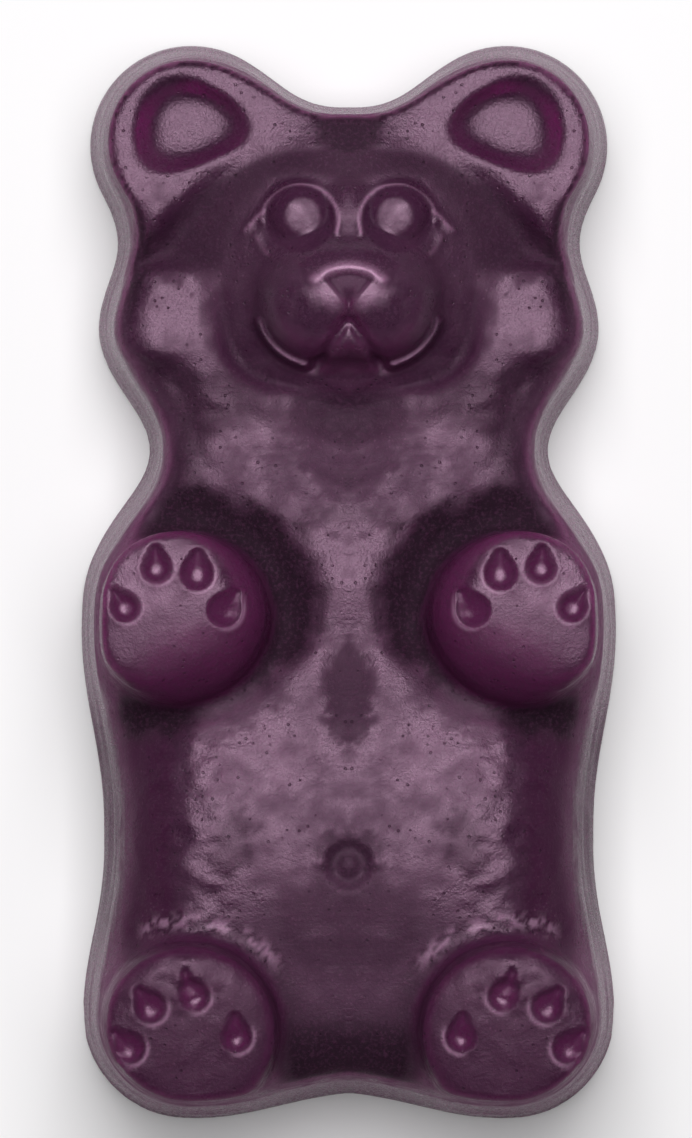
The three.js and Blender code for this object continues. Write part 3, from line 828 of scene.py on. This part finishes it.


# painted glow: brighter magenta where light would shine through thin gum, on the ear hollow walls, limbs, muzzle,
# toe bowls and the arm pad's heel
def paintedGlowMask(s):
    arm, foot = (paintedGlowShares[name] * ramp(*paintedGlowShares["limb"], away) for name, away in (("arm", s.arm), ("foot", s.foot)))
    limb = np.maximum(arm, foot) * ramp(*paintedGlowShares["limbHeight"], s.z)
    e, zone = paintedGlowShares["ear"], paintedGlowShares["earZone"]
    turn = e["facing"][0] * (s.x - ears["middle"][0]) + e["facing"][1] * (s.y - ears["middle"][1])
    ear = (e["least"] + e["more"] * ramp(*e["turn"], turn)) * ramp(*e["wall"], np.abs(earSides(s.x, s.y, s.z)))
    ear = ear * ramp(*zone["y"], s.y) * ramp(*zone["below"], s.z - earPlane(s.x, s.y))
    ear = ear * ramp(*zone["inward"], s.inward)
    muzzle = paintedGlowShares["muzzle"]["share"] * spot(s.x, s.y, paintedGlowShares["muzzle"]["place"])
    thin = ramp(*paintedGlowShares["slope"], s.up) * np.clip(ear + limb + muzzle + paintedGlowShares["all"], 0, 1)
    paintedGlow = s.fore * np.maximum(thin, paintedGlowShares["toe"] * s.toe)
    pad = paintedGlowShares["pad"]
    heel = pad["least"] + pad["heel"] * spot(s.x, s.y, pad["place"])
    return np.maximum(paintedGlow, heel * ramp(*pad["edge"], s.arm) * ramp(*skin["padTop"], s.z))


paintedShadeZones = {
    "up": (0.3, 0.5),
    "armpit": dict(edge=(18.2, 14.8), blot=2.6, z=(31, 28), up=(0.25, 0.6), inward=(-0.6, -2.2)),
    "between": dict(x=(10, 6.5), y=(-53, -60)),
    "rim": dict(low=(0.45, 0.6), high=(0.92, 0.8), inward=(-4, -2), y=(30, 38), share=0.85),
    "neckSide": dict(inner=(-7, -4.5), outer=(-1.2, -2.5), low=(6, 10), top=(33, 27), share=0.5),
    "footRing": dict(outer=(16.5, 14), inner=(12.5, 13.5), x=(26, 22), share=0.4),
    "mask": dict(least=0.15, outer=0.3),
    "parting": dict(place=(0, 58.5, 4.3, 3.8), share=0.75),
    "breastbone": dict(place=(0, -14.5, 3.3, 7.4), share=0.35),
    "navel": dict(place=(0, -34.6, 4.6, 2.8), share=0.45),
    "lap": dict(place=(0, -44, 10, 6.5), share=0.25),
    "bellySide": dict(place=(15, -33.5, 2.6, 4.6), share=0.4),
    "ragged": 2,
}


def paintedShadeMask(s):  # painted shade: darker colour in the hollows round the arms, between the feet, on the face's slopes, the rims, neck sides and round the feet
    ragged = paintedShadeZones["ragged"]
    m = paintedShadeZones["armpit"]
    pit = ramp(*m["edge"], armpitReach(s.x, s.y) + m["blot"] * s.blot) * ramp(*m["z"], s.z)
    pit = pit * ramp(*m["up"], s.up) * ramp(*m["inward"], s.inward)
    m = paintedShadeZones["between"]
    between = ramp(*m["x"], s.x) * ramp(*m["y"], s.y)
    m = paintedShadeZones["rim"]
    rim = ramp(*m["low"], s.up) * ramp(*m["high"], s.up)
    rim = m["share"] * (rim * ramp(*m["inward"], s.inward) * ramp(*m["y"], s.y))
    m = paintedShadeZones["neckSide"]
    neckSide = ramp(*m["inner"], s.inward) * ramp(*m["outer"], s.inward)
    neckSide = m["share"] * (neckSide * ramp(*m["low"], s.y) * ramp(*m["top"], s.y))
    m = paintedShadeZones["footRing"]
    footRing = m["share"] * (ramp(*m["outer"], s.foot) * ramp(*m["inner"], s.foot) * ramp(*m["x"], s.x))
    mask = s.mask * (paintedShadeZones["mask"]["least"] + paintedShadeZones["mask"]["outer"] * s.outer)
    m = paintedShadeZones["parting"]
    spots = [m["share"] * spot(s.x + ragged * s.fleck, s.y, m["place"])]
    for name in ("breastbone", "navel", "lap"):
        m = paintedShadeZones[name]
        spots.append(m["share"] * spot(s.x, s.y + ragged * s.fleck, m["place"]))
    m = paintedShadeZones["bellySide"]
    spots.append(m["share"] * spot(s.x + ragged * s.fleck, s.y + ragged * s.blot, m["place"]))
    return s.fore * ramp(*paintedShadeZones["up"], s.up) * np.max([pit, between, rim, neckSide, footRing, mask, *spots], 0)


dullSpots = {
    "throat": (0, 21, 7.5, 11, 0.9),
    "breastbone": (0, -14.5, 3.2, 7.5, 1.0),
    "navel": (0, -35.2, 4.4, 4.4, 0.7),
    "parting": (0, 58.5, 4.3, 3.8, 1.0),
    "bridge": (0, 47, 1.8, 3, 0.4),
    "eye": (6, 47.2, 3.2, 3.2, 0.26),
    "neck": (14, 17, 16, 14, 0.45),
    "armpit": (20, -4.2, 15.5, 15.5, 0.9),
    "lap": (0, -50, 14, 14, 0.9),
    "sole": (20.5, -58, 12, 12, 0.5),
    "belly": (0, -30, 19, 14, 0.3),
    "palm": (18.5, -12.5, 10, 7, 0.85),
}
dulled = {
    "ditch": 0.9,
    "mask": dict(least=0.4, outer=0.5),
    "flank": 0.5,
    "ragged": (1.5, 2.5),
    "cheekSide": dict(place=(17, 35, 2.2, 7), share=0.7),
    "cheekTop": dict(low=(37.8, 40), high=(44, 41), x=(14, 16), ragged=3),
    "cheek": 0.8,
    "broad": 0.5,
    "fleck": 0.3,
    "pad": dict(share=0.35, y=(0, -6), edge=(12, 10)),
    "earShine": dict(share=0.7, y=(52, 57), x=(8, 14)),
}


def dullMask(s):
    m = dulled["mask"]
    mask = s.mask * (m["least"] + m["outer"] * s.outer)
    dull = np.max([dulled["ditch"] * s.ditch, mask, dulled["flank"] * s.flank], 0)
    for name, place in dullSpots.items():
        strength = spot(s.x + dulled["ragged"][0] * s.blot, s.y + dulled["ragged"][1] * s.fleck, place) * place[4]
        if name == "armpit":
            strength = strength * ramp(*paintedShadeZones["armpit"]["z"], s.z)
        dull = np.maximum(dull, strength)
    m = dulled["cheekTop"]
    cheekTop = ramp(*m["low"], s.y + m["ragged"] * s.fleck) * ramp(*m["high"], s.y) * ramp(*m["x"], s.x)
    m = dulled["cheekSide"]
    dull = np.maximum(dull, dulled["cheek"] * np.maximum(m["share"] * spot(s.x, s.y, m["place"]), cheekTop))
    dull = dull + dulled["broad"] * patches(s.mirrored, *skin["broadPatch"]) + dulled["fleck"] * s.fleck
    m = dulled["pad"]
    pad = m["share"] * ramp(*m["y"], s.y) * ramp(*m["edge"], s.arm) * ramp(*skin["padTop"], s.z)
    m = dulled["earShine"]
    shine = 1 - m["share"] * ramp(*m["y"], s.y) * ramp(*m["x"], s.x)
    return np.clip(np.maximum(dull, pad), 0, 1) * s.fore * (1 - s.toe) * shine


matted = {
    "cliff": dict(share=0.85, up=(0.84, 0.6), clear=0.8, place=(0, 35, 13, 11)),
    "side": dict(least=0.42, hip=0.15, y=(-44, -54), waist=0.38, layers=0.5),
    "sole": dict(least=0.25, low=0.4, y=(-54, -62)),
    "toe": 0.8,
    "deep": 0.93,
    "ditch": 0.6,
    "eyeMoat": dict(share=0.9, inner=(6, 47.2), start=(2.1, 2.6), outer=(6.3, 46.9), end=(4.7, 4.3)),
    "mask": dict(least=0.1, outer=0.5),
    "flank": 0.8,
    "nostril": dict(share=0.85, bank=(0.1, -0.4)),
}


def mattMask(s, deep):
    m = matted["cliff"]
    cliff = m["share"] * ramp(*m["up"], s.up) * s.fore * (1 - m["clear"] * spot(s.x, s.y, m["place"]))
    m = matted["side"]
    layers = m["layers"] * ripples(s.mirrored, *skin["layers"])
    side = s.side * np.clip(m["least"] + m["hip"] * ramp(*m["y"], s.y) + m["waist"] * s.waist + layers, 0, 1)
    m = matted["sole"]
    sole = s.sole * (m["least"] + m["low"] * ramp(*m["y"], s.y))
    m = matted["eyeMoat"]
    eyeMoat = ramp(*m["start"], np.hypot(s.x - m["inner"][0], s.y - m["inner"][1]))
    eyeMoat = m["share"] * (eyeMoat * ramp(*m["end"], np.hypot(s.x - m["outer"][0], s.y - m["outer"][1])))
    m = matted["nostril"]
    nostril = m["share"] * ramp(*m["bank"], nostrilEdge(s.x, s.y))
    mask = s.mask * (matted["mask"]["least"] + matted["mask"]["outer"] * s.outer)
    toe = matted["toe"] * s.toe * (1 - s.bead)
    plain = [matted["deep"] * deep, matted["ditch"] * s.ditch, matted["flank"] * s.flank]
    return np.max([side, cliff, sole, eyeMoat, nostril, mask, toe, *plain], 0)


# painted highlights: pale face lines, foot crests, toe lips and tips, and pale spots on the arm pad and belly
paintedHighlightPlaces = {
    "ring": dict(span=(10, 197), width=0.25, least=0.6, more=0.4, x=(3, -1), share=0.75),
    "spur": dict(share=0.7, width=0.3),
    "underRim": dict(share=0.3, width=0.3),
    "smile": dict(y=(33, 28.5), width=0.35, wider=0.25, least=0.6, more=0.6),
    "nose": dict(share=0.75, width=0.65),
    "nostril": dict(share=0.45, x=4, y=37.9, dx=-2.1, dy=-1.8, width=1.1),
    "crest": dict(radius=14.4, width=0.95, inner=(7, 11), outer=(28, 25), y=(-52, -48), share=0.8),
    "crestGaps": (-0.1, 0.2),
    "lip": 0.55,
    "toeTip": dict(x=15.2, y=-4.3, share=0.5, width=0.5),
    "pale": [((27.3, 0, 5, 4.5), 0.2), ((14, -22, 6.5, 7.5), 0.14)],
    "paleFleck": 0.2,
    "up": (0.5, 0.7),
    "overMatt": 0.6,
}


def paintedHighlightLines(x, y):  # raised lines of the face, painted pale as highlights
    sx, sy = x - cuts["socket"]["x"], y - cuts["socket"]["y"]
    m = paintedHighlightPlaces["ring"]
    ring = ridge(arc(sx, sy, cuts["socket"]["rim"], *m["span"]), m["width"])
    ring = ring * (m["least"] + m["more"] * ramp(*m["x"], sx))
    outside = paintedHighlightPlaces["spur"]["share"] * ridge(spur(sx, sy), paintedHighlightPlaces["spur"]["width"])
    below = paintedHighlightPlaces["underRim"]["share"] * ridge(underRim(sx, sy), paintedHighlightPlaces["underRim"]["width"])
    ring = m["share"] * np.max([ring, outside, below], 0)
    m = paintedHighlightPlaces["smile"]
    low = ramp(*m["y"], y)
    smile = ridge(smileLine(x, y), m["width"] + m["wider"] * low) * (m["least"] + m["more"] * low)
    nose = paintedHighlightPlaces["nose"]["share"] * ridge(noseLine(x, y), paintedHighlightPlaces["nose"]["width"])
    m = paintedHighlightPlaces["nostril"]
    nostril = m["share"] * ridge(drop(x - m["x"], y - m["y"], m["dx"], m["dy"], 0, 0), m["width"])
    return np.max([ring, smile, nose, nostril], 0)


def paintedHighlightMask(s):
    m = paintedHighlightPlaces["crest"]
    crest = ridge(s.foot - m["radius"], m["width"]) * ramp(*m["inner"], s.x) * ramp(*m["outer"], s.x)
    crest = m["share"] * (crest * ramp(*m["y"], s.y) * ramp(*paintedHighlightPlaces["crestGaps"], s.fleck))
    m = paintedHighlightPlaces["toeTip"]
    toeTip = m["share"] * ridge(np.hypot(s.x - m["x"], s.y - m["y"]), m["width"])
    paintedHighlight = np.max([paintedHighlightLines(s.x, s.y), crest, paintedHighlightPlaces["lip"] * s.lip, toeTip], 0)
    pale = np.max([share * spot(s.x, s.y, place) for place, share in paintedHighlightPlaces["pale"]], 0)
    paintedHighlight = np.maximum(paintedHighlight, pale + paintedHighlightPlaces["paleFleck"] * pale * s.fleck)
    return paintedHighlight * s.fore * ramp(*paintedHighlightPlaces["up"], s.up) * (1 - s.toe * (1 - s.bead))


smoothSpots = [(2.5, 37.5, 5, 5), (6, 47.2, 2.8, 2.8), (8, 30, 5, 4)]
# the painted wall reflection fades at the waist
sideFade = 0.5
# the soles take the flanks' painted shade
soleFlank = 0.7


def surfaceMasks(points):
    s = skinOf(points)
    # painted shade in the hollows, then the painted highlights
    deep, paintedHighlight = paintedShadeMask(s), paintedHighlightMask(s)
    return {
        "paintedGlow": paintedGlowMask(s),
        "side": s.side * (1 - sideFade * s.waist),
        "deep": deep,
        "dull": dullMask(s),
        "matt": mattMask(s, deep) * (1 - paintedHighlightPlaces["overMatt"] * paintedHighlight),
        "smooth": np.max([*(spot(s.x, s.y, place) for place in smoothSpots), s.toe], 0),
        "paintedHighlight": paintedHighlight,
        "flank": np.maximum(s.flank, soleFlank * s.sole),
    }


gelatin = {
    "body": colour(52, 25, 46),
    # colour of the painted glow through thin gum
    "paintedGlow": colour(98, 30, 79),
    "cloud": colour(66, 37, 58),
    # colour of the painted shade in hollows and on the face
    "deep": colour(28, 19, 26),
    # colour of the painted reflection on the side walls
    "side": colour(112, 66, 98),
    # colour of the painted shade on the flanks and soles
    "flank": colour(50, 18, 41),
    # colour of the painted highlights
    "paintedHighlight": colour(150, 114, 140),
    # colour of the painted glints
    "glintSpeck": colour(112, 78, 102),
    # colour of the painted shade in the pits
    "pit": colour(28, 14, 25),
    "cloudScale": 0.12,
    "patchScale": 0.3,
    "speckSize": 0.62,
    "grainSize": 0.45,
    "grainDeep": 0.1,
    "pitSize": 1.15,
    "pitDeep": 0.08,
    "rough": 0.27,
    "roughGrain": 0.2,
    "dullRough": 0.72,
    "gloss": 0.48,
    "sideGloss": 0.008,
    "sheen": (1.0, 0.65, 0.88, 1.0),
    "depth": 2.5,
}
strengths = {
    "cloud": 0.6,
    "side": 0.8,
    "flank": 0.5,
    "paintedGlow": 0.85,
    "deep": 0.8,
    "grain": 0.55,
    "pit": 0.6,
    "glintSpeck": 0.25,
    "paintedHighlight": (0.5, 0.6),  # least, and what the grain adds
}


def gelatinColour(wires, cloud, grain, pits, glintSpeckle):
    paintedGlow, side, deep, paintedHighlight, flank = (wires[name] for name in ("paintedGlow", "side", "deep", "paintedHighlight", "flank"))
    base = mixed(cloud.step(0.35, 0.7) * strengths["cloud"], gelatin["body"], gelatin["cloud"])
    # painted reflection on the side walls
    base = mixed(side * strengths["side"], base, gelatin["side"])
    # painted shade on the flanks and soles
    base = mixed(flank * strengths["flank"], base, gelatin["flank"])
    # painted glow through thin gum
    base = mixed(paintedGlow * strengths["paintedGlow"], base, gelatin["paintedGlow"])
    # painted shade in hollows and on the face
    base = mixed(deep * strengths["deep"], base, gelatin["deep"])
    base = mixed(grain.step(0.46, 0.66) * strengths["grain"], base, gelatin["cloud"])
    # pits are bumped in and darkened as painted shade
    base = mixed(pits * strengths["pit"], base, gelatin["pit"])
    # painted glints
    base = mixed(glintSpeckle * strengths["glintSpeck"], base, gelatin["glintSpeck"])
    # painted highlights, stronger with the grain
    return mixed(paintedHighlight * (strengths["paintedHighlight"][0] + grain * strengths["paintedHighlight"][1]), base, gelatin["paintedHighlight"])


def gelatinMaterial():
    material = newMaterial("grape gelatin")
    across = Wire.node("SeparateXYZ", {}, {0: Wire.node("TexCoord", {}, {}, out="Object")})
    x, y, z = (across.other(name) * (1 / mm) for name in "XYZ")
    p = Wire.node("CombineXYZ", {}, {0: x.maths("ABSOLUTE"), 1: y, 2: z})  # both halves alike
    names = ("paintedGlow", "side", "deep", "dull", "matt", "smooth", "paintedHighlight", "flank")
    wires = {name: Wire.node("Attribute", {"attribute_name": name}, {}, out="Fac") for name in names}
    deep, dull, smooth = wires["deep"], wires["dull"], wires["smooth"]
    cloud = noiseAt(p, gelatin["cloudScale"], 3.0)
    grain = noiseAt(p, 1 / gelatin["grainSize"], 4.0, 0.65)
    patch = noiseAt(p, gelatin["patchScale"], 1.0).step(0.42, 0.58)
    pits = (1 - cellsAt(p, gelatin["pitSize"]).step(0.08, 0.2)) * patch * (1 - smooth)
    # painted glints: small light specks away from the painted shade
    glintSpeckle = (1 - cellsAt(p, gelatin["speckSize"]).step(0.12, 0.34)) * cloud.step(0.35, 0.6)
    glintSpeckle = glintSpeckle * grain.step(0.42, 0.6) * (1 - deep)
    base = gelatinColour(wires, cloud, grain, pits, glintSpeckle)
    height = grain * (1 - smooth * 0.6) * gelatin["grainDeep"] - pits * gelatin["pitDeep"]
    normal = Wire.node("Bump", {}, {"Strength": 1.0, "Distance": mm, "Height": height})
    duller = dull * (gelatin["dullRough"] - gelatin["rough"])
    rough = gelatin["rough"] + (grain - 0.5) * gelatin["roughGrain"] + duller
    gums = [
        Wire.node("BsdfPrincipled", {"subsurface_method": "RANDOM_WALK"}, {
            "Base Color": base,
            "Roughness": rough,
            "IOR": 1.5,
            "Normal": normal,
            "Subsurface Weight": 0.6,
            "Subsurface Radius": (1.0, 0.3, 0.7),
            "Subsurface Scale": gelatin["depth"] * mm,
            "Specular IOR Level": level,
            "Specular Tint": gelatin["sheen"],
        })
        for level in (gelatin["gloss"], gelatin["sideGloss"])
    ]
    shader = Wire.node("MixShader", {}, {0: wires["matt"], 1: gums[0], 2: gums[1]})
    Wire.node("OutputMaterial", {}, {"Surface": shader})
    return material


def paint(piece):
    mesh = piece.data
    for name, values in surfaceMasks(coordinates(mesh)).items():
        attribute = mesh.attributes.new(name, "FLOAT", "POINT")
        attribute.data.foreach_set("value", values.astype(np.float32))
    mesh.materials.clear()
    mesh.materials.append(gelatinMaterial())


paint(gumBody)
print("gelatin painted")


# studio: pale floor, one big soft light, camera straight above
studio = {
    "floor": 8.0,
    "floorGap": 0.0001,
    "floorColour": colour(224, 223, 224),
    "floorRough": 0.8,
    "lightHeight": 1.2,
    "lightLean": 0.30,
    "lightHalf": (0.32, 0.42),
    "lightPower": 23,
    "world": 0.06,
    "distance": 3.0,
    "sensor": 36,
    "farthest": 100,
    "pictureHeight": 1138,
    "pictureMiddle": (346, 569),
    "bearMiddle": (348.75, 582),
    "bearPixels": 1076,
    "bearLength": 140,
}


def buildFloor():
    bm = bmesh.new()
    bmesh.ops.create_grid(bm, x_segments=1, y_segments=1, size=studio["floor"] / 2)
    bmesh.ops.translate(bm, verts=bm.verts, vec=(0, 0, -studio["floorGap"]))
    mesh = bpy.data.meshes.new("floor")
    bm.to_mesh(mesh)
    bm.free()
    floor = bpy.data.objects.new("floor", mesh)
    bpy.context.scene.collection.objects.link(floor)
    mesh.materials.append(newMaterial("pale floor"))
    matt = {"Base Color": studio["floorColour"], "Roughness": studio["floorRough"]}
    Wire.node("OutputMaterial", {}, {"Surface": Wire.node("BsdfPrincipled", {}, matt)})


def buildLight():
    height, half = studio["lightHeight"], studio["lightHalf"]
    data = bpy.data.lights.new("softbox", "AREA")
    data.shape = "RECTANGLE"
    data.size, data.size_y = 2 * half[0] * height, 2 * half[1] * height
    data.energy = studio["lightPower"]
    light = bpy.data.objects.new("softbox", data)
    light.location = (0, studio["lightLean"] * height, height)
    light.visible_camera = False
    bpy.context.scene.collection.objects.link(light)
    world = bpy.data.worlds.new("studio")
    world.use_nodes = True
    world.node_tree.nodes["Background"].inputs["Color"].default_value = (1, 1, 1, 1)
    world.node_tree.nodes["Background"].inputs["Strength"].default_value = studio["world"]
    bpy.context.scene.world = world


def buildCamera():
    pixel = studio["bearLength"] / studio["bearPixels"] * mm
    across, up = (b - m for b, m in zip(studio["bearMiddle"], studio["pictureMiddle"]))
    data = bpy.data.cameras.new("camera")
    data.sensor_width = studio["sensor"]
    data.lens = studio["sensor"] * studio["distance"] / (studio["pictureHeight"] * pixel)
    data.clip_end = studio["farthest"]
    camera = bpy.data.objects.new("camera", data)
    camera.location = (-across * pixel, up * pixel, studio["distance"])
    bpy.context.scene.collection.objects.link(camera)
    bpy.context.scene.camera = camera


buildFloor()
buildLight()
buildCamera()
bpy.context.scene.view_settings.view_transform = "Standard"
print("studio ready")
